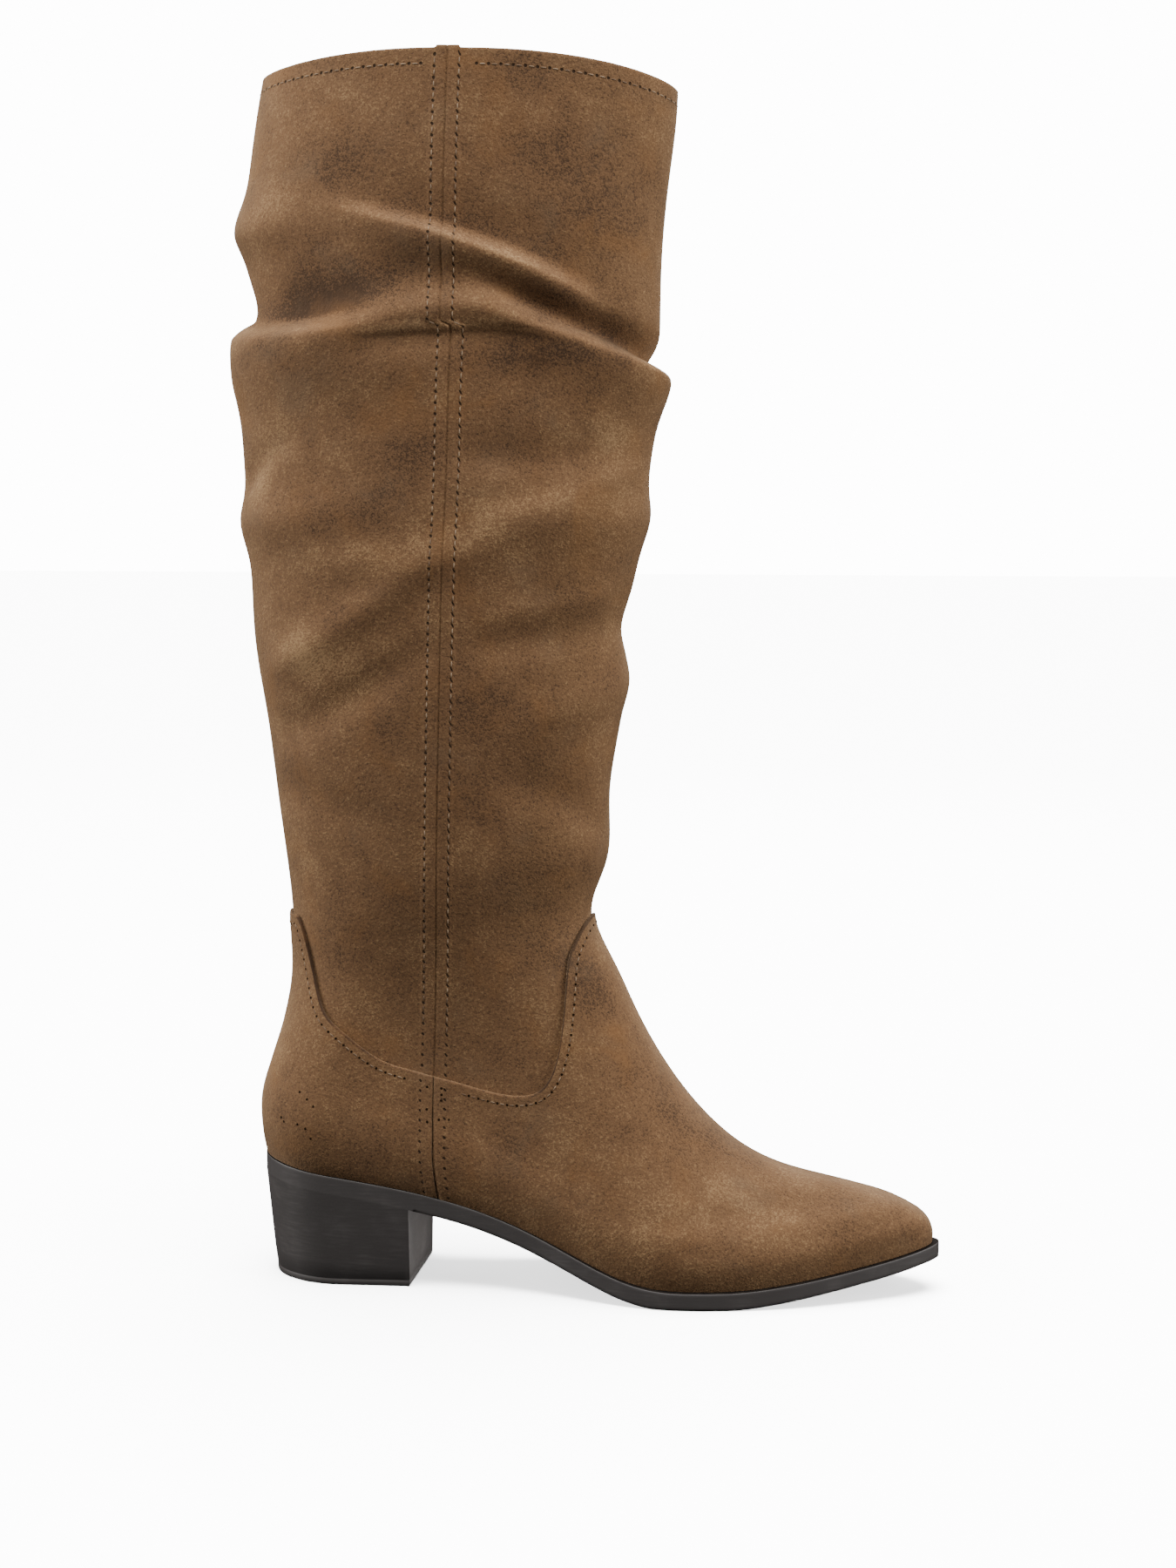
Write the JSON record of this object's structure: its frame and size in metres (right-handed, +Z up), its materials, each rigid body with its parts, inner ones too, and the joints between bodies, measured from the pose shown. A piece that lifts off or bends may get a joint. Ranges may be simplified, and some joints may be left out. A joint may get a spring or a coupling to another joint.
{
  "type": "slouch boot",
  "caption": "Tall suede boot with a loosely creased shaft, a pointed toe, a smooth vamp and counter laid over the foot, a side seam and a block heel.",
  "frame": {"origin": "centre of the heel's flat tread, on the floor", "axes": "+X to the toe, +Y to the medial (inner) side of the foot, +Z up the shaft; it is a right boot, so its lateral side faces -Y"},
  "size_m": [0.2791, 0.0899, 0.4739],
  "materials": {
    "suede": "brown suede, napped, matt, with lighter and darker brushed patches",
    "lining": "plain light brown leather, matt",
    "sole": "charcoal brown rubber, matt"
  },
  "bodies": {
    "root": {"upper": "suede", "vamp": "suede", "counter": "suede", "insole": "lining", "outsole": "sole", "heel": "sole"}
  },
  "joints": []
}
